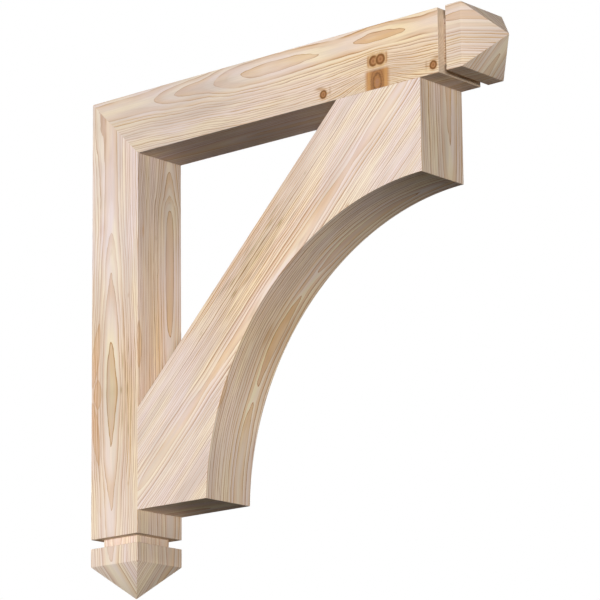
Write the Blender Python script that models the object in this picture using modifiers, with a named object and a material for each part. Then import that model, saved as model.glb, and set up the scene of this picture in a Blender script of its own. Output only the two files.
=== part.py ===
"""Wooden corbel bracket: a leg, an arm and an arched brace of dressed softwood.

The bracket lies in the XZ plane. X runs out from the wall, Z up, and Y across the timbers.
The origin is on the wall face, halfway across it and halfway between the top and the groove.
"""

import math

import bmesh
import bpy
from mathutils import Vector

INCH = 0.0254

# Overall reach and drop of the bracket, points included
REACH = 28.0 * INCH
DROP = 28.0 * INCH

# Side of the square stock of the leg and the arm, and thickness of the brace
STOCK = 3.5 * INCH

# Carved end of the leg and the arm: a groove all round, a block, and a four sided point
GROOVE_WIDTH = 0.5 * INCH
GROOVE_DEPTH = 0.5 * INCH
BLOCK_LENGTH = 1.0 * INCH
POINT_LENGTH = 1.75 * INCH

# Brace: how far it runs along the leg and the arm, the flats at its ends,
# the width of the plank it is sawn from, and what the arch leaves at its middle
BRACE_RUN = 20.0 * INCH
BRACE_END = 5.0 * INCH
BRACE_PLANK = 7.5 * INCH
BRACE_WAIST = 3.25 * INCH

# Straight lengths that make up the arch
ARCH_STEPS = 64

# Clearance between timbers that touch
SEAM = 0.0003

# Caps and sides of an outline are welded within this distance
WELD = 0.00001

# Edges sharper than this stay sharp under smooth shading
SHARP_ANGLE = math.radians(30)

# A square section is a turned profile of this many steps
SQUARE_STEPS = 4

# Planed softwood, paler on the faces that show the rings edge on
LEG_COLOUR = (0.76, 0.60, 0.45, 1.0)
ARM_COLOUR = (0.73, 0.56, 0.42, 1.0)
BRACE_COLOUR = (0.73, 0.57, 0.43, 1.0)
WOOD_ROUGHNESS = 0.6


def carved_end():
    """Length of the groove, block and point together."""
    return GROOVE_WIDTH + BLOCK_LENGTH + POINT_LENGTH


# Height of the bracket's top over the origin
TOP = (DROP - carved_end()) / 2


def new_collection(name):
    collection = bpy.data.collections.new(name)
    bpy.context.scene.collection.children.link(collection)
    return collection


def wood(name, colour):
    material = bpy.data.materials.new(name)
    material.use_nodes = True
    shader = material.node_tree.nodes["Principled BSDF"]
    shader.inputs["Base Color"].default_value = colour
    shader.inputs["Roughness"].default_value = WOOD_ROUGHNESS
    shader.inputs["Metallic"].default_value = 0.0
    return material


def place(piece, collection, parent, material):
    collection.objects.link(piece)
    piece.parent = parent
    piece.data.materials.append(material)


def timber_profile(length):
    """Half sides of a carved timber and how far down each lies, from its square end to its point."""
    half = STOCK / 2
    core = half - GROOVE_DEPTH
    shoulder = length - carved_end()
    block = shoulder + GROOVE_WIDTH
    block_end = block + BLOCK_LENGTH
    return [
        (0.0, 0.0),
        (half, 0.0),
        (half, shoulder),
        (core, shoulder),
        (core, block),
        (half, block),
        (half, block_end),
        (0.0, length),
    ]


def carved_timber(name, length):
    """Square timber hanging down from its own origin, turned in four steps from its profile."""
    points = [(side, side, -down) for side, down in timber_profile(length)]
    edges = [(i, i + 1) for i in range(len(points) - 1)]
    mesh = bpy.data.meshes.new(name)
    mesh.from_pydata(points, edges, [])
    timber = bpy.data.objects.new(name, mesh)
    turn = timber.modifiers.new("square_section", "SCREW")
    turn.axis = "Z"
    turn.angle = 2 * math.pi
    turn.steps = SQUARE_STEPS
    turn.render_steps = SQUARE_STEPS
    turn.use_merge_vertices = True
    turn.merge_threshold = WELD
    turn.use_smooth_shade = False
    return timber


def mitre_cutter(name, toward, collection, parent):
    """Cube with one face along the mitre, half a seam short of it, covering the side it is toward."""
    side = 2 * STOCK
    mitre_centre = Vector((STOCK / 2, 0.0, TOP - STOCK / 2))
    block = bmesh.new()
    bmesh.ops.create_cube(block, size=side)
    mesh = bpy.data.meshes.new(name)
    block.to_mesh(mesh)
    block.free()
    cutter = bpy.data.objects.new(name, mesh)
    cutter.location = mitre_centre + toward.normalized() * (side - SEAM) / 2
    cutter.rotation_euler = (0.0, math.radians(45), 0.0)
    cutter.hide_render = True
    cutter.display_type = "WIRE"
    cutter.parent = parent
    collection.objects.link(cutter)
    return cutter


def cut(piece, cutter):
    mitre = piece.modifiers.new(cutter.name, "BOOLEAN")
    mitre.operation = "DIFFERENCE"
    mitre.solver = "EXACT"
    mitre.object = cutter


def arc(start, end, rise, toward, steps):
    """Points of a circular arc from start to end that rises from its chord toward a side."""
    half_chord = (end - start).length / 2
    radius = (half_chord ** 2 + rise ** 2) / (2 * rise)
    centre = (start + end) / 2 + toward * (rise - radius)
    along = (end - start).normalized()
    sweep = 2 * math.atan2(half_chord, radius - rise)
    points = []
    for i in range(steps + 1):
        turn = sweep * (i / steps - 0.5)
        points.append(centre + radius * (toward * math.cos(turn) + along * math.sin(turn)))
    return points


def brace_outline():
    """Outline of the brace, out from the leg and up from under the arm, round its sawn edges."""
    back = BRACE_RUN + BRACE_END - BRACE_PLANK * math.sqrt(2)
    low_corner = Vector((BRACE_END, -BRACE_RUN))
    high_corner = Vector((BRACE_RUN, -BRACE_END))
    to_inner_corner = Vector((-1.0, 1.0)).normalized()
    rise = BRACE_PLANK - BRACE_WAIST
    seat_on_leg = [Vector((SEAM, SEAM - back)), Vector((SEAM, -BRACE_RUN))]
    seat_on_arm = [Vector((BRACE_RUN, -SEAM)), Vector((back - SEAM, -SEAM))]
    arch = arc(low_corner, high_corner, rise, to_inner_corner, ARCH_STEPS)
    return seat_on_leg + arch + seat_on_arm


def sawn_plank(name, outline, thickness):
    """Solid of an outline in X and Z, with its thickness shared between both sides of Y."""
    curve = bpy.data.curves.new(name, "CURVE")
    curve.dimensions = "2D"
    curve.fill_mode = "BOTH"
    curve.extrude = thickness / 2
    spline = curve.splines.new("POLY")
    spline.points.add(len(outline) - 1)
    for point, corner in zip(spline.points, outline):
        point.co = (corner.x, corner.y, 0.0, 1.0)
    spline.use_cyclic_u = True
    drawing = bpy.data.objects.new(name + "_drawing", curve)
    drawing.rotation_euler = (math.radians(90), 0.0, 0.0)
    bpy.context.scene.collection.objects.link(drawing)
    bpy.context.view_layer.update()
    view = bpy.context.evaluated_depsgraph_get()
    mesh = bpy.data.meshes.new_from_object(drawing.evaluated_get(view))
    plank = bpy.data.objects.new(name, mesh)
    plank.matrix_world = drawing.matrix_world.copy()
    bpy.data.objects.remove(drawing)
    solid = bmesh.new()
    solid.from_mesh(mesh)
    bmesh.ops.remove_doubles(solid, verts=solid.verts, dist=WELD)
    solid.to_mesh(mesh)
    solid.free()
    mesh.shade_smooth()
    mesh.set_sharp_from_angle(angle=SHARP_ANGLE)
    return plank


def make_leg(collection, cutters, parent):
    """Upright timber against the wall, with its carved end hanging below the brace."""
    leg = carved_timber("leg", DROP)
    leg.location = (STOCK / 2, 0.0, TOP)
    place(leg, collection, parent, wood("leg_wood", LEG_COLOUR))
    cut(leg, mitre_cutter("leg_mitre", Vector((1.0, 0.0, 1.0)), cutters, parent))


def make_arm(collection, cutters, parent):
    """Level timber along the top, turned to lie with its carved end away from the wall."""
    arm = carved_timber("arm", REACH)
    arm.location = (0.0, 0.0, TOP - STOCK / 2)
    arm.rotation_euler = (0.0, math.radians(-90), 0.0)
    place(arm, collection, parent, wood("arm_wood", ARM_COLOUR))
    cut(arm, mitre_cutter("arm_mitre", Vector((-1.0, 0.0, -1.0)), cutters, parent))


def make_brace(collection, parent):
    """Plank in the inner corner, its grain at 45 degrees and its outer edge sawn to an arch."""
    brace = sawn_plank("brace", brace_outline(), STOCK)
    brace.location = (STOCK, 0.0, TOP - STOCK)
    place(brace, collection, parent, wood("brace_wood", BRACE_COLOUR))


def main():
    for old in list(bpy.data.objects):
        bpy.data.objects.remove(old, do_unlink=True)
    bracket = new_collection("corbel_bracket")
    cutters = new_collection("cutters")
    frame = bpy.data.objects.new("corbel_bracket_frame", None)
    bracket.objects.link(frame)
    make_leg(bracket, cutters, frame)
    make_arm(bracket, cutters, frame)
    make_brace(bracket, frame)


main()
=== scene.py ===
import math
from dataclasses import dataclass, replace

import bmesh
import bpy
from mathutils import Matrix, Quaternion, Vector


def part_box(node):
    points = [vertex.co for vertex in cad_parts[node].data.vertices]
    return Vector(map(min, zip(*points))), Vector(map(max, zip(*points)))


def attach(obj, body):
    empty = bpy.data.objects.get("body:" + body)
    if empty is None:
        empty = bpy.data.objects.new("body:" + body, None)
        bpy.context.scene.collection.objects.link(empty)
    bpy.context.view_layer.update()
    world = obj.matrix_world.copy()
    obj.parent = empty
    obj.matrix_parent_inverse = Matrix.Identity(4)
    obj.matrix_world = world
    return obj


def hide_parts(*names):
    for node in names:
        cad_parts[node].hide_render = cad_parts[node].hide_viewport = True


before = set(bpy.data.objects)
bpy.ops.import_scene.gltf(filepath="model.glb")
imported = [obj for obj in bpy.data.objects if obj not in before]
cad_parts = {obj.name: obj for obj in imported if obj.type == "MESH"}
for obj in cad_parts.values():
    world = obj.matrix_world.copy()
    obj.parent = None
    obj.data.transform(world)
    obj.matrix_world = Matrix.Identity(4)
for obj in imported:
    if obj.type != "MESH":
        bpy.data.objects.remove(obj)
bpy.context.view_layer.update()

# Sizes of the bracket, in millimetres like every place below; the meshes are in metres
METRE = 1000.0
INCH = 25.4
STOCK = 3.5 * INCH
BRACE_RUN = 20.0 * INCH
BRACE_END = 5.0 * INCH
BRACE_PLANK = 7.5 * INCH
BRACE_WAIST = 3.25 * INCH
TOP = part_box("arm")[1].z * METRE
UNDERSIDE = TOP - STOCK

# Seams between the timbers, and how much of them the glued joints still show
SEAM = 0.3
SHOWN_SEAM = 0.04

# Planed arrises are eased a little
EASED = 0.7
EASED_STEPS = 2
SHARP_ANGLE = math.radians(20)
FLAT_ANGLE = math.radians(0.3)
ARRIS_ANGLE = math.radians(30)
WELD = 0.01

# Camera of the photograph, in the row frame: place in metres, turn in degrees, lens in millimetres
CAMERA_PLACE = Vector((3.07816, -3.16631, -1.05086))
CAMERA_TARGET = Vector((0.34823, 0.0, -0.02359))
CAMERA_ROLL = -0.669
SENSOR = 36.0
LENS = 192.093
SIGHT = 200.0

# The floor lies far below, as the bracket hangs high on a wall
FLOOR_DROP = 6.0
FLOOR_REACH = 60.0
FLOOR_STEPS = 8
FLOOR_MOTTLE = 900.0
FLOOR_ROUGHNESS = 0.9
FLOOR_GLOW = (0.95, 0.94, 0.92, 1.0)
FLOOR_GLOW_STRENGTH = 0.6


class Signal:
    """A number or colour that varies over a surface, made by shader nodes and used like a plain number."""

    def __init__(self, tree, socket):
        self.tree = tree
        self.socket = socket

    def __add__(self, other):
        return compute("ADD", self, other)

    __radd__ = __add__

    def __sub__(self, other):
        return compute("SUBTRACT", self, other)

    def __rsub__(self, other):
        return compute("SUBTRACT", other, self)

    def __mul__(self, other):
        return compute("MULTIPLY", self, other)

    __rmul__ = __mul__

    def __truediv__(self, other):
        return compute("DIVIDE", self, other)

    def __neg__(self):
        return compute("MULTIPLY", self, -1.0)


def feed(socket, value):
    """Links a socket to a signal, or sets it to a plain value."""
    if isinstance(value, Signal):
        value.tree.links.new(value.socket, socket)
    else:
        socket.default_value = value


def compute(operation, *values):
    tree = next(value.tree for value in values if isinstance(value, Signal))
    node = tree.nodes.new("ShaderNodeMath")
    node.operation = operation
    for socket, value in zip(node.inputs, values):
        feed(socket, value)
    return Signal(tree, node.outputs[0])


def rise(value, start, end):
    """Smooth step from 0 at start to 1 at end."""
    node = value.tree.nodes.new("ShaderNodeMapRange")
    node.interpolation_type = "SMOOTHSTEP"
    feed(node.inputs["Value"], value)
    feed(node.inputs["From Min"], start)
    feed(node.inputs["From Max"], end)
    return Signal(value.tree, node.outputs["Result"])


def limit(value):
    """Keeps a signal between 0 and 1."""
    return compute("MINIMUM", compute("MAXIMUM", value, 0.0), 1.0)


def square(value):
    return value * value


def root(value):
    return compute("SQRT", value)


def bell(distance, width):
    """1 at no distance, falling to nothing past twice the width."""
    return compute("EXPONENT", -square(distance / width))


def point(x, y, z):
    tree = next(value.tree for value in (x, y, z) if isinstance(value, Signal))
    node = tree.nodes.new("ShaderNodeCombineXYZ")
    for socket, value in zip(node.inputs, (x, y, z)):
        feed(socket, value)
    return Signal(tree, node.outputs[0])


def noise(place, detail=1.0, roughness=0.5):
    """Noise about one unit long, mostly between -1 and 1."""
    node = place.tree.nodes.new("ShaderNodeTexNoise")
    node.noise_dimensions = "3D"
    feed(node.inputs["Vector"], place)
    feed(node.inputs["Scale"], 1.0)
    feed(node.inputs["Detail"], detail)
    feed(node.inputs["Roughness"], roughness)
    return (Signal(place.tree, node.outputs[0]) - 0.5) * 4.0


def drift(along, across, length, width, seed, detail=1.0):
    """Noise drawn out along the grain, with features of a length and a width."""
    return noise(point(along / length, across / width, seed), detail)


def chance(value, seed):
    """A number from 0 to 1 that is fixed for each whole value."""
    node = value.tree.nodes.new("ShaderNodeTexWhiteNoise")
    node.noise_dimensions = "1D"
    feed(node.inputs["W"], value + seed)
    return Signal(value.tree, node.outputs["Value"])


def profile(value, points):
    """Smooth curve through (place, height) points."""
    places = [place for place, _ in points]
    heights = [height for _, height in points]
    first, span = places[0], places[-1] - places[0]
    low, rise_of_curve = min(heights), max(heights) - min(heights)
    node = value.tree.nodes.new("ShaderNodeFloatCurve")
    curve = node.mapping.curves[0]
    while len(curve.points) < len(points):
        curve.points.new(0.5, 0.5)
    for knob, (place, height) in zip(curve.points, points):
        knob.location = ((place - first) / span, (height - low) / rise_of_curve)
        knob.handle_type = "AUTO_CLAMPED"
    node.mapping.update()
    feed(node.inputs["Value"], (value - first) / span)
    return Signal(value.tree, node.outputs[0]) * rise_of_curve + low


def paint(red, green, blue):
    """Linear colour from one read on a screen, 0 to 255."""
    levels = [level / 255 for level in (red, green, blue)]
    linear = [v / 12.92 if v <= 0.04045 else ((v + 0.055) / 1.055) ** 2.4 for v in levels]
    return (*linear, 1.0)


def blend(under, over, amount, method="MIX"):
    tree = next(value.tree for value in (amount, under, over) if isinstance(value, Signal))
    node = tree.nodes.new("ShaderNodeMix")
    node.data_type = "RGBA"
    node.blend_type = method
    colours = [socket for socket in node.inputs if socket.type == "RGBA"]
    feed(node.inputs["Factor"], amount)
    feed(colours[0], under)
    feed(colours[1], over)
    return Signal(tree, next(socket for socket in node.outputs if socket.type == "RGBA"))


def scaled(colour, factor):
    node = colour.tree.nodes.new("ShaderNodeVectorMath")
    node.operation = "SCALE"
    feed(node.inputs[0], colour)
    feed(node.inputs["Scale"], factor)
    return Signal(colour.tree, node.outputs[0])


# Colours of the wood: pale growth in three moods, the wash that late growth lends it,
# the dark line that ends a ring, and the pale and late growth of wood cut across the grain
PINK_PALE = paint(238, 218, 204)
CREAM_PALE = paint(244, 225, 195)
GREY_PALE = paint(224, 205, 187)
AMBER_WASH = paint(230, 196, 150)
TAN_WASH = paint(219, 186, 160)
PINK_LINE = paint(190, 152, 124)
ORANGE_LINE = paint(190, 143, 92)
END_PALE = paint(226, 205, 180)
END_LATE = paint(204, 178, 150)

# Colours of the knots and of the resin round them
KNOT_RIM = paint(126, 82, 42)
KNOT_RING = paint(148, 92, 54)
KNOT_HEART = paint(180, 130, 86)
KNOT_HALO = paint(206, 158, 106)
RESIN_PALE = paint(222, 190, 146)
RESIN_AMBER = paint(204, 152, 94)
RESIN_EDGE = paint(178, 120, 66)
RESIN_CORE = paint(174, 120, 68)
RESIN_DARK = paint(124, 78, 40)
RESIN_HEART = paint(172, 122, 88)

# Colours of the floor
FLOOR_GREY = paint(236, 235, 232)
FLOOR_WHITE = paint(243, 242, 240)

# Tints that soft stains lay over the wood, as shares of red, green and blue let through
OLIVE = (0.85, 0.83, 0.74, 1.0)
SAGE = (0.86, 0.97, 0.98, 1.0)
SMEAR = (0.64, 0.48, 0.32, 1.0)
DASH_BROWN = (0.62, 0.54, 0.38, 1.0)
BROWN = (0.80, 0.68, 0.54, 1.0)
ORANGE = (0.92, 0.74, 0.52, 1.0)
AMBER = (0.97, 0.85, 0.62, 1.0)
DUSK = (0.82, 0.78, 0.78, 1.0)
ROSE = (0.92, 0.82, 0.78, 1.0)
FLAME_TINT = (0.93, 0.81, 0.66, 1.0)


@dataclass
class Pattern:
    """Soft noise in the wood: its length along the grain, its width across it, and its place in the noise."""
    length: float
    width: float
    shift: float = 0.0
    detail: float = 1.0


@dataclass
class Knot:
    """A knot at a place on a face: the lines bow round it by push, over a length of reach."""
    along: float
    across: float
    radius: float
    push: float = 0.0
    reach: float = 20.0


@dataclass
class Swell:
    """A place where the face lies some rings deeper or shallower in the tree."""
    along: float
    across: float
    length: float
    width: float
    rings: float


@dataclass
class Tone:
    """How light, how cool and how boldly lined a face is drawn at a place along the grain: its light and cool
    levels give the wood's own tone, and on some faces painted shade as well.
    """
    along: float
    light: float = 1.0
    cool: float = 0.0
    bold: float = 1.0


@dataclass
class Stain:
    """A soft tinted place, drawn out along the grain."""
    along: float
    across: float
    length: float
    width: float
    tint: tuple
    amount: float


@dataclass
class Flame:
    """A pointed flame of late growth near an edge, which leans across by lean from middle to tip."""
    along: float
    across: float
    half_length: float
    half_width: float
    lean: float = 0.0


@dataclass
class Resin:
    """A four cornered place of soaked wood round a branch."""
    along: float
    across: float
    half_length: float
    half_width: float


@dataclass
class Figure:
    """What the grain of one face shows.

    The tree's centre lies depth behind the line at centre, so lines there run flat to the face.
    crest gives how many rings the face climbs along that line: flames show where it dips below a whole one.
    """
    seed: float
    centre: float
    depth: float
    ring: float
    crest: tuple
    tones: tuple = (Tone(0.0), Tone(700.0))
    swells: tuple = ()
    knots: tuple = ()
    stains: tuple = ()
    flames: tuple = ()
    halos: tuple = ()
    patches: tuple = ()
    amber: float = 0.4


# Waves that shift the rings, each with how many rings it shifts them, and how much
# more they shift the steep rings at the sides, past a number of rings from the flat ones
WAVES = (
    (Pattern(length=260.0, width=60.0), 0.06),
    (Pattern(length=70.0, width=14.0, shift=3.1), 0.06),
    (Pattern(length=18.0, width=5.0, shift=7.7), 0.03),
)
SIDE_UNREST = 2.5
CALM_RINGS = 4.0

# Good and poor years by turns: how fast they change from ring to ring, and how many rings they shift
YEARS_RATE = 2.3
YEARS_SHIFT = 0.16

# Rings that pass each millimetre along the grain, near the tip of a flame
ALONG_STEEPNESS = 0.012

# In radii of a knot: the lines bow by about their full push past the first, and settle again past the second
BOW_START = 1.2
BOW_REACH = 3.0


def spread(pattern, along, across, seed):
    """A pattern's value over a surface, mostly between -1 and 1."""
    return drift(along, across, pattern.length, pattern.width, seed + pattern.shift, pattern.detail)


def bowed(across, along, knots):
    """Across coordinate from which the bowing of the lines round the knots is taken off."""
    for knot in knots:
        off = across - knot.across
        lean = off / root(square(off) + square(BOW_START * knot.radius)) * bell(off, BOW_REACH * knot.radius)
        across = across - lean * bell(along - knot.along, knot.reach) * knot.push
    return across


def ring_count(along, across, figure):
    """Rings between the face and the flat lines at its centre, and how many pass each millimetre."""
    across = bowed(across, along, figure.knots)
    unrest = 0.0
    for wave, rings in WAVES:
        unrest = spread(wave, along, across, figure.seed) * rings + unrest
    climb = profile(along, figure.crest)
    for swell in figure.swells:
        near = bell(along - swell.along, swell.length) * bell(across - swell.across, swell.width)
        climb = climb + near * swell.rings
    side = across - figure.centre
    reach = root(square(side) + figure.depth ** 2)
    bow = (reach - figure.depth) / figure.ring
    unsettled = 1.0 + limit(bow / CALM_RINGS) * SIDE_UNREST
    count = bow + climb + unrest * unsettled
    count = count + compute("SINE", count * YEARS_RATE + figure.seed) * YEARS_SHIFT
    steepness = root(square(side / reach / figure.ring) + ALONG_STEEPNESS ** 2)
    return count, steepness


# Knots, in radii from the middle: where the glow round them, the rim and the knot itself start and end,
# how wide the pith is, and how their rings follow each other
KNOT_GLOW = (0.95, 1.7)
KNOT_RIM_RISE = (0.5, 0.8)
KNOT_END = (0.9, 1.15)
KNOT_PITH = 0.15
KNOT_RING_RATE = 14.0
KNOT_RING_START = 1.2
KNOT_UNEVEN = Pattern(length=4.0, width=4.0)
KNOT_UNEVEN_RADII = 0.05


def knot_colour(colour, along, across, knot, seed):
    """Paints one round knot: a brown rim, a ringed tan heart and a dark pith."""
    wobble = spread(KNOT_UNEVEN, along, across, seed + knot.along) * KNOT_UNEVEN_RADII
    distance = root(square(along - knot.along) + square(across - knot.across)) / knot.radius + wobble
    colour = blend(colour, KNOT_HALO, (1.0 - rise(distance, *KNOT_GLOW)) * 0.6)
    rings = compute("SINE", distance * KNOT_RING_RATE - KNOT_RING_START) * 0.5 + 0.5
    heart = blend(KNOT_HEART, KNOT_RING, rings * 0.55)
    heart = blend(heart, KNOT_RIM, rise(distance, *KNOT_RIM_RISE) * 0.9)
    heart = blend(heart, KNOT_RIM, bell(distance, KNOT_PITH) * 0.6)
    return blend(colour, heart, 1.0 - rise(distance, *KNOT_END))


# Resin: how soft its ends and sides are, as shares of its half sizes, and the mottle and streaks in it,
# which run across the grain
HALO_SOFT = 0.32
HALO_MOTTLE = Pattern(length=9.0, width=2.5, shift=61.0)
HALO_FRINGE = 0.94
HALO_FRINGE_WIDTH = 0.09
PATCH_SOFT = 0.2
PATCH_STREAKS = Pattern(length=16.0, width=2.0, shift=67.0, detail=2.0)
PATCH_CORE = (9.0, 15.0)
PATCH_STRENGTH = 0.94

# The branch seen end on in the patch: its half sizes, how far it lies below the patch's middle,
# and where its outline, the fainter line round that and its heart lie, as shares of its half sizes
BRANCH_HALF_LENGTH = 8.5
BRANCH_HALF_WIDTH = 15.0
BRANCH_DROP = 4.0
BRANCH_UNEVEN = Pattern(length=4.0, width=4.0, shift=71.0)
BRANCH_UNEVEN_SHARE = 0.12
BRANCH_OUTLINE = 0.8
BRANCH_OUTLINE_WIDTH = 0.17
BRANCH_OUTER_LINE = 1.22
BRANCH_OUTER_WIDTH = 0.1
BRANCH_HEART = (0.25, 0.5)


def inside(along, across, resin, soft):
    """Share of the resin's four cornered place at a point, and how far out the point lies each way."""
    out = compute("ABSOLUTE", (along - resin.along) / resin.half_length)
    down = compute("ABSOLUTE", (across - resin.across) / resin.half_width)
    share = (1.0 - rise(out, 1.0 - soft, 1.0 + soft)) * (1.0 - rise(down, 1.0 - soft, 1.0 + soft))
    return share, out, down


def halo_colour(colour, along, across, resin, seed):
    """Paints pale resin round the knots, with a brown fringe at either end."""
    share, out, down = inside(along, across, resin, HALO_SOFT)
    mottle = spread(HALO_MOTTLE, across, along, seed)
    colour = blend(colour, RESIN_PALE, share * limit(0.7 + mottle * 0.35))
    fringe = bell(out + square(down) * 0.12 - HALO_FRINGE, HALO_FRINGE_WIDTH) * (1.0 - rise(down, 0.4, 0.85))
    return blend(colour, RESIN_EDGE, fringe * 0.75)


def patch_colour(colour, along, across, resin, seed):
    """Paints dark resin with a branch seen end on: a dark outline round a paler heart."""
    share, out, down = inside(along, across, resin, PATCH_SOFT)
    streaks = spread(PATCH_STREAKS, across, along, seed)
    fill = blend(RESIN_AMBER, RESIN_EDGE, limit(rise(out, 0.72, 1.0) * 0.6 + streaks * 0.35))
    core = 1.0 - rise(compute("ABSOLUTE", along - resin.along), *PATCH_CORE)
    fill = blend(fill, RESIN_CORE, core)
    side = (along - resin.along) / BRANCH_HALF_LENGTH
    drop = (across - resin.across - BRANCH_DROP) / BRANCH_HALF_WIDTH
    uneven = spread(BRANCH_UNEVEN, along, across, seed) * BRANCH_UNEVEN_SHARE
    reach = root(square(side) + square(drop)) + uneven
    outline = bell(reach - BRANCH_OUTLINE, BRANCH_OUTLINE_WIDTH) * 0.95
    outer_line = bell(reach - BRANCH_OUTER_LINE, BRANCH_OUTER_WIDTH) * 0.6
    fill = blend(fill, RESIN_DARK, limit(outline + outer_line))
    fill = blend(fill, RESIN_HEART, (1.0 - rise(reach, *BRANCH_HEART)) * 0.9)
    return blend(colour, fill, share * PATCH_STRENGTH)


def stained(colour, along, across, stain, streaks):
    """Lays a stain's tint over the wood, uneven along the streaks."""
    near = bell(along - stain.along, stain.length) * bell(across - stain.across, stain.width)
    return blend(colour, stain.tint, limit(near * (1.0 + streaks * 0.6)) * stain.amount, "MULTIPLY")


# Drawn flames: where they fade out, as shares of their half length, how wide their outline is,
# over what distance their tan field fades in from it, and how it wanders
FLAME_FADE = (0.93, 1.0)
FLAME_LINE = 0.9
FLAME_FIELD = (-1.5, 0.4)
FLAME_UNEVEN = Pattern(length=22.0, width=6.0, shift=83.0)
FLAME_UNEVEN_MM = 0.5


def flame_colour(colour, along, across, flame, seed):
    """Paints one drawn flame: a tan field inside a thin orange brown outline."""
    out = (along - flame.along) / flame.half_length
    taper = compute("MAXIMUM", 1.0 - square(out), 0.0) * flame.half_width
    wobble = spread(FLAME_UNEVEN, along, across, seed) * FLAME_UNEVEN_MM
    off_line = compute("ABSOLUTE", across - flame.across - out * flame.lean) - taper + wobble
    shown = 1.0 - rise(compute("ABSOLUTE", out), *FLAME_FADE)
    field = (1.0 - rise(off_line, *FLAME_FIELD)) * shown
    colour = blend(colour, FLAME_TINT, field * 0.8, "MULTIPLY")
    return blend(colour, ORANGE_LINE, bell(off_line, FLAME_LINE) * shown * 0.55)


# How much green and blue a cool place gains
COOL_GREEN = 0.04
COOL_BLUE = 0.15


def toned(colour, light, cool):
    """Makes a colour lighter or darker, and cooler or warmer."""
    tint = point(light, light * (cool * COOL_GREEN + 1.0), light * (cool * COOL_BLUE + 1.0))
    return blend(colour, tint, 1.0, "MULTIPLY")


def tone_curve(along, tones, what):
    """Curve of one quality of a face along the grain, its lining, its wood tone or its painted shade, or a
    plain number if it never changes.
    """
    levels = [(tone.along, getattr(tone, what)) for tone in tones]
    lowest = min(level for _, level in levels)
    highest = max(level for _, level in levels)
    return profile(along, levels) if highest > lowest else lowest


# Surface of the wood: its roughness, what late growth takes off it and fibre adds to it,
# its gloss, and its relief, in metres
WOOD_ROUGHNESS = 0.66
LATE_SMOOTHNESS = 0.08
FIBRE_ROUGHNESS = 0.05
WOOD_SPECULAR = 0.25
RELIEF_STRENGTH = 0.35
RELIEF_HEIGHT = 0.0002


def finish_wood(material, colour, ridges, fibre):
    """Matte planed surface, a little smoother and prouder on the hard late growth."""
    tree = material.node_tree
    shader = tree.nodes["Principled BSDF"]
    feed(shader.inputs["Base Color"], colour)
    roughness = WOOD_ROUGHNESS - ridges * LATE_SMOOTHNESS + fibre * FIBRE_ROUGHNESS
    feed(shader.inputs["Roughness"], limit(roughness))
    shader.inputs["Metallic"].default_value = 0.0
    shader.inputs["Specular IOR Level"].default_value = WOOD_SPECULAR
    bump = tree.nodes.new("ShaderNodeBump")
    bump.inputs["Strength"].default_value = RELIEF_STRENGTH
    bump.inputs["Distance"].default_value = RELIEF_HEIGHT
    feed(bump.inputs["Height"], ridges * 0.5 + fibre * 0.5)
    tree.links.new(bump.outputs["Normal"], shader.inputs["Normal"])


def new_material(name):
    material = bpy.data.materials.new(name)
    material.use_nodes = True
    return material


def row_place(material):
    """Place of a surface point in the row frame, in millimetres."""
    tree = material.node_tree
    coordinates = tree.nodes.new("ShaderNodeTexCoord")
    split = tree.nodes.new("ShaderNodeSeparateXYZ")
    tree.links.new(coordinates.outputs["Object"], split.inputs[0])
    return [Signal(tree, socket) * METRE for socket in split.outputs]


# Patterns of wood cut along the grain: fine streaks, fibre and pores, and slow changes from pink to cream,
# to grey, from tan to orange, from faint to bold lines and from warm to cool
STREAKS = Pattern(length=60.0, width=1.7, shift=53.0, detail=2.0)
FIBRE = Pattern(length=45.0, width=0.7, shift=41.0, detail=2.0)
PORES = Pattern(length=9.0, width=0.35, shift=47.0)
CREAMINESS = Pattern(length=130.0, width=24.0, shift=17.9)
GREYNESS = Pattern(length=160.0, width=24.0, shift=23.3)
HEAT = Pattern(length=160.0, width=11.0, shift=31.7, detail=2.0)
BOLDNESS = Pattern(length=48.0, width=6.0, shift=11.3)
COOLNESS = Pattern(length=60.0, width=8.0, shift=59.0)

# A ring: where in it late growth sets in and is full, as shares of it, and over what distance from its end
# the line there fades, in millimetres, with what it gains where the rings lie flat, near the face's centre
LATE_GROWTH = (0.2, 0.9)
LINE_START = 0.2
LINE_WIDTH = 1.5
FLAT_LINE_WIDTH = 0.7
FLAT_REACH = 20.0

# A false ring within a ring: its first place, how much later it may lie, and its width
FALSE_RING = 0.3
FALSE_RING_SPREAD = 0.25
FALSE_RING_WIDTH = 0.07


def boldness(along, across, whole, flat, streaks, seed, figure):
    """How strongly each ring's line shows: by its year, by place and by streak."""
    by_year = square(chance(whole, figure.seed)) * 0.65
    by_place = spread(BOLDNESS, along, across, seed) * 0.45
    bold = by_year + 0.36 + flat * 0.16 + by_place + streaks * 0.25
    return limit(bold) * tone_curve(along, figure.tones, "bold")


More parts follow.
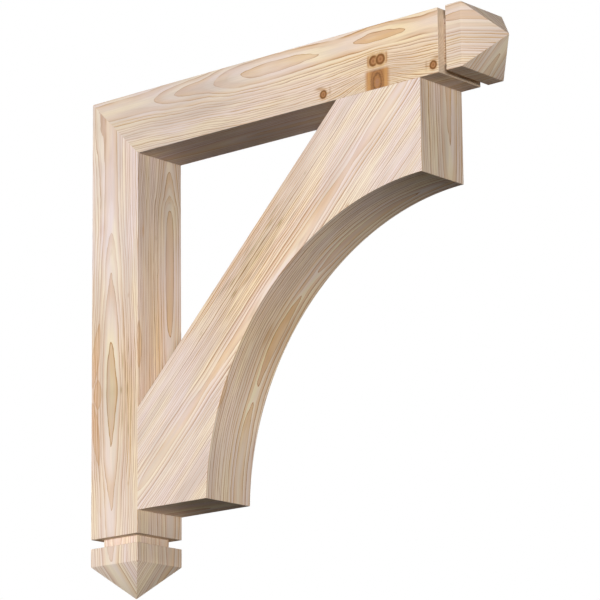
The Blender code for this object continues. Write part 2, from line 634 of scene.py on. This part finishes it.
def long_grain(name, coordinates, figure):
    """Wood cut along the grain, on a face whose coordinates are along, across and a seed offset."""
    material = new_material(name)
    along, across, offset = coordinates(*row_place(material))
    seed = offset + figure.seed
    # The light and cool curves hold the wood's own tone, and on some faces painted shade as well.
    light = tone_curve(along, figure.tones, "light")
    cool = tone_curve(along, figure.tones, "cool")
    count, steepness = ring_count(along, across, figure)
    whole = compute("FLOOR", count)
    part = count - whole
    to_line = (1.0 - part) / steepness
    streaks = spread(STREAKS, along, across, seed)
    fibre = spread(FIBRE, along, across, seed)
    pores = spread(PORES, along, across, seed)
    cream = spread(CREAMINESS, along, across, seed)
    grey = spread(GREYNESS, along, across, seed)
    heat = spread(HEAT, along, across, seed)
    flat = bell(across - figure.centre, FLAT_REACH)
    bold = boldness(along, across, whole, flat, streaks, seed, figure)
    late = rise(part, *LATE_GROWTH)
    line = 1.0 - rise(to_line, LINE_START, flat * FLAT_LINE_WIDTH + LINE_WIDTH)
    false_ring = chance(whole, figure.seed + 5.0) * FALSE_RING_SPREAD + FALSE_RING
    faint = bell(part - false_ring, FALSE_RING_WIDTH) * chance(whole, figure.seed + 9.0)
    pale = blend(PINK_PALE, CREAM_PALE, limit(cream * 1.1 + 0.45))
    pale = blend(pale, GREY_PALE, limit(grey + 0.1))
    wash = blend(TAN_WASH, AMBER_WASH, limit(heat * 0.7 + figure.amber))
    mark = blend(PINK_LINE, ORANGE_LINE, limit(heat * 0.8 + 0.35 + flat * 0.25))
    colour = blend(pale, wash, limit(late * (bold * 0.5 + 0.4)))
    colour = blend(colour, mark, limit(line * bold + faint * bold * 0.3))
    for stain in figure.stains:
        colour = stained(colour, along, across, stain, streaks)
    for flame in figure.flames:
        colour = flame_colour(colour, along, across, flame, figure.seed)
    for halo in figure.halos:
        colour = halo_colour(colour, along, across, halo, figure.seed)
    for patch in figure.patches:
        colour = patch_colour(colour, along, across, patch, figure.seed)
    for knot in figure.knots:
        colour = knot_colour(colour, along, across, knot, figure.seed)
    cool = spread(COOLNESS, along, across, seed) * 0.12 + cool
    texture = streaks * 0.05 + fibre * 0.035 + pores * 0.02 + 1.0
    colour = toned(colour, texture * light, cool)
    finish_wood(material, colour, late, fibre)
    return material


# Wood cut across the grain: how far apart its rings lie, and its unevenness, pores and blotches
END_RING = 3.6
END_UNEVEN = Pattern(length=22.0, width=22.0)
END_UNEVEN_RINGS = 0.12
END_LATE_GROWTH = (0.3, 0.95)
END_PORES = Pattern(length=0.7, width=0.7, shift=5.0, detail=2.0)
END_BLOTCHES = Pattern(length=9.0, width=9.0, shift=9.0)


def end_grain(name, coordinates, seed, pith):
    """Wood cut across the grain: rings round a pith beyond the section, and fine open pores."""
    material = new_material(name)
    first, second, offset = coordinates(*row_place(material))
    distance = root(square(first - pith[0]) + square(second - pith[1]))
    wobble = spread(END_UNEVEN, first, second, seed) * END_UNEVEN_RINGS
    part = compute("FRACT", distance / END_RING + wobble + offset)
    late = rise(part, *END_LATE_GROWTH)
    pores = spread(END_PORES, first, second, seed)
    blotch = spread(END_BLOTCHES, first, second, seed)
    colour = blend(END_PALE, END_LATE, limit(late * 0.5 + blotch * 0.25 + 0.25))
    colour = scaled(colour, 0.97 + pores * 0.05)
    finish_wood(material, colour, late, pores)
    return material


# Length and width over which a figure is turned end for end on the far faces
LEG_SIDE_TURN = (640.0, STOCK)
LEG_EDGE_TURN = (560.0, STOCK)
ARM_SIDE_TURN = (640.0, STOCK)
ARM_EDGE_TURN = (700.0, STOCK)
BRACE_SIDE_TURN = (700.0, 165.0)

# Far faces take their noise from another place
FAR_SHIFT = 5.0

# Middle of the leg's groove and of the arm's: its two walls lie half a ring apart
LEG_GROOVE = -320.0
ARM_GROOVE = 635.0
HALF_RING = 0.5


def mirrored(beyond, along, across, turn):
    """Far and hidden faces show the same figure turned end for end."""
    length, width = turn
    turned_along = along + beyond * (length - along * 2.0)
    turned_across = across + beyond * (width - across * 2.0)
    return turned_along, turned_across, beyond * FAR_SHIFT


def leg_side(x, y, z):
    beyond = compute("GREATER_THAN", y, 0.0)
    return mirrored(beyond, TOP - z, x, LEG_SIDE_TURN)


def leg_edge(x, y, z):
    beyond = compute("LESS_THAN", x, STOCK / 2)
    return mirrored(beyond, UNDERSIDE - z, y + STOCK / 2, LEG_EDGE_TURN)


def leg_end(x, y, z):
    return x, y, compute("GREATER_THAN", z, LEG_GROOVE) * HALF_RING


def arm_side(x, y, z):
    beyond = compute("GREATER_THAN", y, 0.0)
    return mirrored(beyond, x, TOP - z, ARM_SIDE_TURN)


def arm_edge(x, y, z):
    beyond = compute("GREATER_THAN", z, TOP - STOCK / 2)
    return mirrored(beyond, x, y + STOCK / 2, ARM_EDGE_TURN)


def arm_end(x, y, z):
    return y, TOP - z, compute("GREATER_THAN", x, ARM_GROOVE) * HALF_RING


# The brace, from the inner corner: where its back edge meets the leg and the arm, and the circle of its arch
BRACE_BACK = BRACE_RUN + BRACE_END - BRACE_PLANK * math.sqrt(2)
ARCH_HALF_CHORD = (BRACE_RUN - BRACE_END) / math.sqrt(2)
ARCH_RISE = BRACE_PLANK - BRACE_WAIST
ARCH_RADIUS = (ARCH_HALF_CHORD ** 2 + ARCH_RISE ** 2) / (2 * ARCH_RISE)
ARCH_SWEEP = 2 * math.atan2(ARCH_HALF_CHORD, ARCH_RADIUS - ARCH_RISE)
ARCH_MIDDLE = (BRACE_RUN + BRACE_END) / 2 + (ARCH_RADIUS - ARCH_RISE) / math.sqrt(2)
ARCH_X = STOCK + ARCH_MIDDLE
ARCH_Z = UNDERSIDE - ARCH_MIDDLE

# How far along the brace's grain its back edge meets the leg
BRACE_START = 130.0


def brace_along(x, z):
    return (x - STOCK - UNDERSIDE + z + BRACE_BACK) / math.sqrt(2) + BRACE_START


def brace_across(x, z):
    return (x - STOCK + UNDERSIDE - z - BRACE_BACK) / math.sqrt(2)


def brace_side(x, y, z):
    beyond = compute("GREATER_THAN", y, 0.0)
    return mirrored(beyond, brace_along(x, z), brace_across(x, z), BRACE_SIDE_TURN)


def brace_arch(x, y, z):
    turn = compute("ARCTAN2", z - ARCH_Z, ARCH_X - x)
    return (turn - (math.pi / 2 - ARCH_SWEEP) / 2) * ARCH_RADIUS, y + STOCK / 2, x * 0.0


def brace_back(x, y, z):
    return brace_along(x, z), y + STOCK / 2, x * 0.0


def brace_upright(x, y, z):
    return UNDERSIDE - z, y + STOCK / 2, x * 0.0


def brace_level(x, y, z):
    return x - STOCK, y + STOCK / 2, x * 0.0


def paired(middle, *stains):
    """Stains and their mirror images across a middle, where the grain mirrors itself."""
    images = tuple(replace(stain, along=2.0 * middle - stain.along) for stain in stains)
    return stains + images


def dash(along, across, length, width, amount):
    """A short dark stroke along the grain."""
    return Stain(along, across, length, width, DASH_BROWN, amount)


ARM_SIDE = Figure(
    seed=1.0, centre=18.5, depth=34.0, ring=2.9,
    knots=(
        Knot(along=519.5, across=49.5, radius=7.5, push=2.0, reach=20.0),
        Knot(along=531.5, across=49.5, radius=7.5, push=2.0, reach=20.0),
        Knot(along=432.0, across=77.0, radius=6.0, push=2.0, reach=12.0),
        Knot(along=620.0, across=77.0, radius=6.0, push=2.0, reach=12.0),
    ),
    halos=(Resin(along=526.0, across=49.0, half_length=17.0, half_width=12.0),),
    patches=(Resin(along=525.5, across=76.0, half_length=19.5, half_width=14.0),),
    swells=(Swell(along=525.0, across=96.0, length=46.0, width=38.0, rings=10.0),),
    stains=(
        *paired(
            526.0,
            Stain(along=425.0, across=67.5, length=8.0, width=2.2, tint=SMEAR, amount=1.0),
            Stain(along=443.5, across=75.0, length=2.0, width=6.0, tint=SMEAR, amount=0.6),
        ),
        Stain(along=525.0, across=18.0, length=45.0, width=7.0, tint=AMBER, amount=0.5),
        Stain(along=660.0, across=20.0, length=45.0, width=9.0, tint=ORANGE, amount=0.1),
    ),
    tones=(
        Tone(along=0.0, light=0.92, cool=0.6, bold=0.7),
        Tone(along=180.0, light=0.89, cool=0.6, bold=0.7),
        Tone(along=325.0, light=0.965, cool=0.25, bold=0.9),
        Tone(along=430.0, light=1.01, cool=0.0, bold=1.2),
        Tone(along=530.0, light=1.03, cool=-0.4, bold=1.9),
        Tone(along=600.0, light=1.03, cool=-0.6, bold=1.6),
        # The face darkens towards the arm's pointed end, over the end block and its facets.
        Tone(along=640.0, light=0.98, cool=0.1, bold=1.1),
        Tone(along=711.0, light=0.82, cool=0.3, bold=1.1),
    ),
    crest=(
        (0.0, 3.3), (60.0, 3.15), (108.0, 3.0), (140.0, 2.4), (168.0, 2.0), (214.0, 1.55),
        (234.0, 1.0), (268.0, 0.1), (275.0, 0.0), (300.0, -0.24), (335.0, -0.4), (380.0, -0.32),
        (420.0, -0.12), (441.0, 0.0), (455.0, 0.06), (468.0, 0.0), (498.0, -0.34), (525.0, -0.56),
        (560.0, -0.32), (594.0, 0.0), (602.0, 0.06), (612.0, 0.0), (650.0, -0.26), (711.0, -0.38),
    ),
)
ARM_EDGE = Figure(
    seed=2.0, centre=50.0, depth=26.0, ring=4.0,
    # Light levels on the arm's underside: darker and cooler between the leg and the brace as painted shade,
    # lighter past the brace towards the pointed end.
    tones=(
        Tone(along=0.0, light=1.02, cool=0.1),
        Tone(along=45.0, light=1.0, cool=0.2),
        Tone(along=89.0, light=0.84, cool=1.3, bold=0.8),
        Tone(along=370.0, light=0.86, cool=1.1, bold=0.8),
        Tone(along=600.0, light=0.92, cool=0.3),
        Tone(along=660.0, light=1.09),
        Tone(along=711.0, light=1.09),
    ),
    crest=(
        (0.0, 1.6), (180.0, 0.4), (330.0, -0.3), (480.0, 0.3), (600.0, 1.2), (711.0, 2.2),
    ),
)
LEG_SIDE = Figure(
    seed=3.0, centre=38.0, depth=31.0, ring=3.0, amber=0.05,
    swells=(
        Swell(along=0.0, across=4.0, length=130.0, width=16.0, rings=-3.5),
        Swell(along=425.0, across=51.0, length=24.0, width=8.0, rings=-0.4),
    ),
    flames=(
        Flame(along=369.0, across=8.5, half_length=47.0, half_width=6.5, lean=-6.5),
        Flame(along=481.0, across=8.5, half_length=47.0, half_width=6.5, lean=6.5),
        Flame(along=425.0, across=12.0, half_length=22.0, half_width=7.0),
    ),
    stains=(
        Stain(along=425.0, across=38.0, length=62.0, width=12.0, tint=SAGE, amount=0.8),
        Stain(along=425.0, across=73.0, length=70.0, width=12.0, tint=BROWN, amount=0.6),
        Stain(along=425.0, across=7.0, length=75.0, width=10.0, tint=ORANGE, amount=0.3),
        Stain(along=425.0, across=45.0, length=9.0, width=40.0, tint=OLIVE, amount=0.3),
        Stain(along=38.0, across=12.0, length=22.0, width=7.0, tint=DUSK, amount=0.6),
        Stain(along=100.0, across=14.0, length=14.0, width=8.0, tint=DUSK, amount=0.45),
        Stain(along=145.0, across=20.0, length=14.0, width=9.0, tint=DUSK, amount=0.35),
        Stain(along=85.0, across=35.0, length=15.0, width=4.0, tint=BROWN, amount=0.25),
        Stain(along=190.0, across=18.0, length=9.0, width=5.0, tint=ROSE, amount=0.5),
        Stain(along=110.0, across=72.0, length=45.0, width=9.0, tint=ROSE, amount=0.5),
        *paired(
            425.0,
            Stain(along=292.0, across=71.0, length=3.0, width=1.8, tint=BROWN, amount=0.6),
            dash(along=384.0, across=60.5, length=14.0, width=1.2, amount=0.7),
            dash(along=398.0, across=66.0, length=12.0, width=1.1, amount=0.5),
            dash(along=368.0, across=71.0, length=11.0, width=1.4, amount=0.6),
            dash(along=392.0, across=76.0, length=15.0, width=1.1, amount=0.5),
        ),
        dash(along=425.0, across=57.5, length=5.0, width=1.8, amount=0.8),
        dash(along=425.0, across=69.0, length=9.0, width=1.2, amount=0.6),
    ),
    tones=(
        Tone(along=0.0, light=1.0, cool=0.9, bold=0.7),
        Tone(along=180.0, light=1.02, cool=1.0, bold=0.65),
        Tone(along=300.0, light=1.0, cool=0.3, bold=0.8),
        Tone(along=380.0, light=1.02, cool=0.0, bold=1.3),
        Tone(along=470.0, light=1.02, cool=0.0, bold=1.3),
        Tone(along=560.0, light=1.02, cool=0.2, bold=0.9),
        Tone(along=640.0, light=1.01, cool=0.4, bold=0.7),
        Tone(along=711.0, light=0.92, cool=0.7, bold=0.7),
    ),
    crest=(
        (0.0, 2.8), (60.0, 2.6), (120.0, 2.4), (165.0, 2.08), (180.0, 2.0), (225.0, 1.4),
        (256.0, 1.06), (267.0, 1.0), (310.0, 0.4), (338.0, 0.04), (347.0, 0.0), (365.0, -0.12),
        (385.0, -0.28), (425.0, -0.42), (462.0, -0.28), (482.0, -0.12), (498.0, 0.0), (507.0, 0.04),
        (535.0, 0.4), (575.0, 1.0), (590.0, 1.06), (660.0, 1.8), (711.0, 2.2),
    ),
)
LEG_EDGE = Figure(
    seed=4.0, centre=65.5, depth=26.0, ring=3.0,
    flames=(Flame(along=275.0, across=3.0, half_length=35.0, half_width=4.5),),
    stains=(
        Stain(along=262.0, across=42.0, length=60.0, width=8.0, tint=AMBER, amount=0.6),
        Stain(along=210.0, across=27.0, length=110.0, width=7.0, tint=BROWN, amount=0.35),
        Stain(along=160.0, across=65.0, length=70.0, width=8.0, tint=BROWN, amount=0.2),
        Stain(along=110.0, across=11.0, length=8.0, width=2.0, tint=ORANGE, amount=0.7),
        Stain(along=117.0, across=37.0, length=3.5, width=2.2, tint=OLIVE, amount=0.8),
    ),
    # Light levels on the leg's outer face: darker and cooler at the top as painted shade under the arm,
    # lighter lower down in the opening, darker round the groove and lighter again below it.
    tones=(
        Tone(along=0.0, light=0.83, cool=0.4, bold=1.1),
        Tone(along=35.0, light=0.84, cool=0.3, bold=1.1),
        Tone(along=120.0, light=0.98, cool=0.4, bold=1.0),
        Tone(along=210.0, light=1.09, cool=0.2, bold=1.05),
        Tone(along=330.0, light=1.1, cool=0.1, bold=1.3),
        Tone(along=540.0, light=0.91),
        Tone(along=565.0, light=0.92),
        Tone(along=590.0, light=1.06),
        Tone(along=640.0, light=1.08),
    ),
    crest=(
        (0.0, 2.2), (50.0, 1.0), (80.0, 0.0), (105.0, -0.2), (165.0, -0.34), (215.0, -0.2),
        (243.0, 0.0), (258.0, 0.14), (280.0, 0.22), (340.0, 0.36), (430.0, 0.7), (560.0, 1.4),
        (640.0, 2.4),
    ),
)
BRACE_SIDE = Figure(
    seed=5.0, centre=82.0, depth=26.0, ring=2.6, amber=0.25,
    stains=(
        Stain(along=410.0, across=5.0, length=150.0, width=5.0, tint=AMBER, amount=0.6),
        Stain(along=410.0, across=48.0, length=120.0, width=12.0, tint=AMBER, amount=0.45),
        Stain(along=410.0, across=25.0, length=80.0, width=13.0, tint=OLIVE, amount=0.95),
        *paired(
            409.0,
            Stain(along=275.0, across=24.0, length=3.0, width=2.0, tint=OLIVE, amount=0.8),
            Stain(along=280.0, across=82.0, length=45.0, width=7.0, tint=AMBER, amount=0.55),
            dash(along=345.0, across=14.0, length=15.0, width=1.7, amount=0.8),
            dash(along=360.0, across=21.0, length=10.0, width=1.5, amount=0.75),
            dash(along=385.0, across=27.0, length=11.0, width=1.5, amount=0.8),
            dash(along=350.0, across=35.0, length=7.0, width=2.0, amount=0.85),
            dash(along=378.0, across=41.0, length=13.0, width=1.5, amount=0.75),
            dash(along=330.0, across=47.0, length=18.0, width=1.2, amount=0.5),
        ),
        dash(along=409.0, across=12.0, length=12.0, width=1.3, amount=0.6),
        dash(along=409.0, across=19.0, length=17.0, width=1.8, amount=0.85),
        dash(along=409.0, across=33.0, length=15.0, width=1.4, amount=0.75),
        dash(along=409.0, across=46.0, length=20.0, width=1.3, amount=0.6),
        Stain(along=410.0, across=68.0, length=130.0, width=8.0, tint=ROSE, amount=0.5),
        Stain(along=180.0, across=85.0, length=60.0, width=7.0, tint=ROSE, amount=0.4),
        Stain(along=640.0, across=85.0, length=50.0, width=7.0, tint=ROSE, amount=0.4),
        Stain(along=552.0, across=117.0, length=4.0, width=2.2, tint=BROWN, amount=0.8),
    ),
    tones=(
        Tone(along=0.0, light=1.02, cool=0.7, bold=0.8),
        Tone(along=175.0, light=1.02, cool=0.8, bold=0.8),
        Tone(along=300.0, light=1.03, cool=0.4, bold=1.6),
        Tone(along=407.0, light=1.06, cool=0.45, bold=2.3),
        Tone(along=500.0, light=1.05, cool=0.4, bold=1.6),
        Tone(along=600.0, light=1.07, cool=0.9, bold=0.9),
        Tone(along=800.0, light=1.05, cool=0.9, bold=0.9),
    ),
    crest=(
        (0.0, 0.6), (50.0, 0.0), (100.0, -0.3), (170.0, -0.26), (215.0, 0.0), (232.0, 0.06),
        (248.0, 0.0), (330.0, -0.35), (407.0, -0.6), (490.0, -0.35), (585.0, 0.0), (600.0, 0.06),
        (615.0, 0.0), (690.0, -0.3), (740.0, 0.0), (790.0, 0.6),
    ),
)
BRACE_ARCH = Figure(
    seed=6.0, centre=64.0, depth=30.0, ring=3.0,
    flames=(
        Flame(along=145.0, across=0.0, half_length=24.0, half_width=7.0),
        Flame(along=350.0, across=0.0, half_length=30.0, half_width=6.0),
    ),
    stains=(
        Stain(along=235.0, across=45.0, length=18.0, width=5.0, tint=BROWN, amount=0.8),
        Stain(along=235.0, across=63.0, length=42.0, width=6.0, tint=AMBER, amount=0.7),
        Stain(along=235.0, across=76.0, length=30.0, width=4.0, tint=BROWN, amount=0.5),
        Stain(along=360.0, across=25.0, length=110.0, width=6.0, tint=DUSK, amount=0.5),
        Stain(along=128.0, across=5.0, length=12.0, width=3.5, tint=BROWN, amount=0.5),
    ),
    tones=(
        Tone(along=0.0, light=1.04, cool=0.0, bold=1.2),
        Tone(along=40.0, light=1.04, cool=0.0, bold=1.2),
        Tone(along=150.0, light=1.19, cool=-0.3, bold=1.4),
        Tone(along=250.0, light=1.17, cool=-0.7, bold=1.9),
        Tone(along=350.0, light=1.2, cool=-0.2, bold=1.6),
        Tone(along=450.0, light=1.15, cool=0.1, bold=1.6),
        Tone(along=550.0, light=1.08, cool=0.0, bold=1.6),
        Tone(along=600.0, light=1.08, cool=0.0, bold=1.6),
    ),
    crest=(
        (0.0, -0.45), (60.0, -0.36), (110.0, -0.15), (135.0, 0.0), (152.0, 0.08), (170.0, 0.0),
        (200.0, -0.16), (235.0, -0.3), (270.0, -0.16), (300.0, 0.0), (325.0, 0.1), (348.0, 0.0),
        (430.0, -0.3), (540.0, 0.0), (600.0, 0.4),
    ),
)
BRACE_BACK_EDGE = Figure(
    seed=7.0, centre=30.0, depth=24.0, ring=4.0,
    crest=(
        (0.0, 1.0), (200.0, 0.0), (320.0, -0.4), (430.0, 0.0), (560.0, 0.8), (800.0, 2.4),
    ),
)
BRACE_FLATS = Figure(
    seed=8.0, centre=60.0, depth=24.0, ring=4.0,
    tones=(
        Tone(along=0.0, light=0.9, cool=0.0, bold=1.1),
        Tone(along=130.0, light=0.92, cool=0.0, bold=1.1),
    ),
    crest=(
        (0.0, -0.4), (60.0, -0.2), (100.0, 0.0), (127.0, 0.3),
    ),
)
BRACE_UNDERSIDE = Figure(
    seed=9.0, centre=60.0, depth=24.0, ring=4.0,
    tones=(
        Tone(along=0.0, light=1.05, cool=0.0, bold=1.1),
        Tone(along=130.0, light=1.03, cool=0.0, bold=1.1),
    ),
    crest=(
        (0.0, -0.4), (60.0, -0.2), (100.0, 0.0), (127.0, 0.3),
    ),
)


def wood_set():
    """Materials of each timber, by the way a face lies to its grain."""
    return {
        "leg": {
            "side": long_grain("leg_side", leg_side, LEG_SIDE),
            "edge": long_grain("leg_edge", leg_edge, LEG_EDGE),
            "end": end_grain("leg_end", leg_end, 12.0, (38.0, -70.0)),
        },
        "arm": {
            "side": long_grain("arm_side", arm_side, ARM_SIDE),
            "edge": long_grain("arm_edge", arm_edge, ARM_EDGE),
            "end": end_grain("arm_end", arm_end, 14.0, (-70.0, 20.0)),
        },
        "brace": {
            "side": long_grain("brace_side", brace_side, BRACE_SIDE),
            "arch": long_grain("brace_arch", brace_arch, BRACE_ARCH),
            "back": long_grain("brace_back", brace_back, BRACE_BACK_EDGE),
            "upright": long_grain("brace_upright", brace_upright, BRACE_FLATS),
            "level": long_grain("brace_level", brace_level, BRACE_UNDERSIDE),
        },
    }


# A face looks along an axis when its normal has more than this of it
FACING = 0.6

# Faces whose centre lies within this distance of the arch's circle are its facets
ARCH_NEAR = 0.5


def leg_family(face):
    if abs(face.normal.y) > FACING:
        return "side"
    return "edge" if abs(face.normal.x) > FACING else "end"


def arm_family(face):
    if abs(face.normal.y) > FACING:
        return "side"
    return "edge" if abs(face.normal.z) > FACING else "end"


def brace_family(face):
    if abs(face.normal.y) > FACING:
        return "side"
    centre = face.calc_center_median() * METRE
    off_arch = math.hypot(centre.x - ARCH_X, centre.z - ARCH_Z) - ARCH_RADIUS
    if abs(off_arch) < ARCH_NEAR:
        return "arch"
    if face.normal.x < -FACING and face.normal.z > FACING:
        return "back"
    return "upright" if abs(face.normal.x) > FACING else "level"


def on_mitre(corner):
    """True on the cut between leg and arm, half a seam to either side of the 45 degree plane."""
    off_plane = (corner.x + corner.z) * METRE - TOP
    return abs(off_plane) < SEAM


def close_leg(corner):
    """The leg's corners on the mitre slide up until only a hair of the seam is left."""
    if on_mitre(corner):
        corner.z = (TOP - SHOWN_SEAM / 2) / METRE - corner.x


def close_arm(corner):
    """The arm's corners on the mitre slide towards the wall until only a hair of the seam is left."""
    if on_mitre(corner):
        corner.x = (TOP + SHOWN_SEAM / 2) / METRE - corner.z


def close_brace(corner):
    """The brace's two seats move up to the timbers they bear on."""
    if corner.x * METRE < STOCK + 2 * SEAM:
        corner.x = (STOCK + SHOWN_SEAM) / METRE
    if corner.z * METRE > UNDERSIDE - 2 * SEAM:
        corner.z = (UNDERSIDE - SHOWN_SEAM) / METRE


def joint_face(face):
    """True on the faces that bear on another timber, which no one sees."""
    corners = [corner.co for corner in face.verts]
    mitre = all(on_mitre(corner) for corner in corners)
    on_leg = all(abs(corner.x * METRE - STOCK - SHOWN_SEAM) < WELD for corner in corners)
    under_arm = all(abs(corner.z * METRE - UNDERSIDE + SHOWN_SEAM) < WELD for corner in corners)
    return mitre or on_leg or under_arm


def arrises(solid):
    """Edges that a joiner would ease: sharp ones that aren't part of a joint."""
    sharp = [edge for edge in solid.edges if edge.calc_face_angle(0.0) > ARRIS_ANGLE]
    return [edge for edge in sharp if not any(joint_face(face) for face in edge.link_faces)]


def dressed_timber(name, close_seam, family, woods):
    """Visible timber made from its CAD solid, with closed joints, eased arrises and grain on each face."""
    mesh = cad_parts[name].data.copy()
    mesh.name = name + "_timber"
    mesh.materials.clear()
    names = list(woods)
    for wood in woods.values():
        mesh.materials.append(wood)
    solid = bmesh.new()
    solid.from_mesh(mesh)
    bmesh.ops.remove_doubles(solid, verts=solid.verts, dist=WELD / METRE)
    bmesh.ops.dissolve_limit(solid, angle_limit=FLAT_ANGLE, verts=solid.verts, edges=solid.edges)
    for vert in solid.verts:
        close_seam(vert.co)
    solid.normal_update()
    for face in solid.faces:
        face.material_index = names.index(family(face))
    bmesh.ops.bevel(
        solid, geom=arrises(solid), offset=EASED / METRE, offset_type="OFFSET",
        segments=EASED_STEPS, profile=0.5, affect="EDGES", clamp_overlap=True, material=-1,
    )
    solid.to_mesh(mesh)
    solid.free()
    mesh.shade_smooth()
    mesh.set_sharp_from_angle(angle=SHARP_ANGLE)
    timber = bpy.data.objects.new(name + "_timber", mesh)
    bpy.context.scene.collection.objects.link(timber)
    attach(timber, "root")
    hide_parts(name)
    return timber


def make_camera():
    camera = bpy.data.objects.new("camera", bpy.data.cameras.new("camera"))
    camera.data.sensor_width = SENSOR
    camera.data.lens = LENS
    camera.data.clip_end = SIGHT
    camera.location = CAMERA_PLACE
    camera.rotation_mode = "QUATERNION"
    look = (CAMERA_TARGET - CAMERA_PLACE).to_track_quat("-Z", "Y")
    roll = Vector((0.0, 0.0, 1.0))
    camera.rotation_quaternion = look @ Quaternion(roll, math.radians(CAMERA_ROLL))
    bpy.context.scene.collection.objects.link(camera)
    bpy.context.scene.camera = camera


def make_floor():
    """Pale matte floor, far below. It shows behind the bracket only when the camera looks down."""
    mesh = bpy.data.meshes.new("floor")
    solid = bmesh.new()
    bmesh.ops.create_grid(solid, x_segments=FLOOR_STEPS, y_segments=FLOOR_STEPS, size=FLOOR_REACH)
    solid.to_mesh(mesh)
    solid.free()
    floor = bpy.data.objects.new("floor", mesh)
    floor.location.z = -FLOOR_DROP
    bpy.context.scene.collection.objects.link(floor)
    material = new_material("floor_paint")
    shader = material.node_tree.nodes["Principled BSDF"]
    x, y, z = row_place(material)
    mottle = noise(point(x / FLOOR_MOTTLE, y / FLOOR_MOTTLE, 0.0), 3.0)
    colour = blend(FLOOR_GREY, FLOOR_WHITE, limit(mottle * 0.5 + 0.5))
    feed(shader.inputs["Base Color"], colour)
    shader.inputs["Roughness"].default_value = FLOOR_ROUGHNESS
    shader.inputs["Emission Color"].default_value = FLOOR_GLOW
    shader.inputs["Emission Strength"].default_value = FLOOR_GLOW_STRENGTH
    mesh.materials.append(material)
    floor.visible_diffuse = False
    floor.visible_glossy = False
    floor.visible_shadow = False


@dataclass
class Lamp:
    """A broad soft light: the way from the bracket to it, and the share of white it gives a square face."""
    name: str
    toward: tuple
    strength: float


# The key stands to the camera's right and the second to its left.
# The others light the sides that these two can't reach.
LAMPS = (
    Lamp("key", (0.68, -0.72, -0.08), 0.87),
    Lamp("second", (-0.27, -0.96, 0.04), 0.35),
    Lamp("far_side", (-0.15, 1.0, 0.2), 0.45),
    Lamp("wall_side", (-1.0, 0.05, 0.1), 0.42),
    Lamp("overhead", (-0.5, 0.35, 0.79), 0.25),
)
LAMP_SPREAD = math.radians(18)
AMBIENT = 0.01
BACKDROP = (1.0, 1.0, 1.0, 1.0)


def make_lamps():
    for lamp in LAMPS:
        light = bpy.data.lights.new(lamp.name, "SUN")
        light.energy = lamp.strength * math.pi
        light.angle = LAMP_SPREAD
        sun = bpy.data.objects.new(lamp.name, light)
        sun.rotation_mode = "QUATERNION"
        sun.rotation_quaternion = Vector(lamp.toward).to_track_quat("Z", "Y")
        bpy.context.scene.collection.objects.link(sun)


def make_backdrop():
    """White behind the bracket, with next to no light of its own."""
    world = bpy.data.worlds.new("studio")
    world.use_nodes = True
    bpy.context.scene.world = world
    tree = world.node_tree
    ambient = tree.nodes["Background"]
    ambient.inputs["Color"].default_value = BACKDROP
    ambient.inputs["Strength"].default_value = AMBIENT
    backdrop = tree.nodes.new("ShaderNodeBackground")
    backdrop.inputs["Color"].default_value = BACKDROP
    path = tree.nodes.new("ShaderNodeLightPath")
    choice = tree.nodes.new("ShaderNodeMixShader")
    tree.links.new(path.outputs["Is Camera Ray"], choice.inputs["Fac"])
    tree.links.new(ambient.outputs[0], choice.inputs[1])
    tree.links.new(backdrop.outputs[0], choice.inputs[2])
    tree.links.new(choice.outputs[0], tree.nodes["World Output"].inputs["Surface"])


def main():
    bpy.context.scene.view_settings.view_transform = "Standard"
    woods = wood_set()
    dressed_timber("leg", close_leg, leg_family, woods["leg"])
    dressed_timber("arm", close_arm, arm_family, woods["arm"])
    dressed_timber("brace", close_brace, brace_family, woods["brace"])
    make_lamps()
    make_backdrop()
    make_floor()
    make_camera()


main()
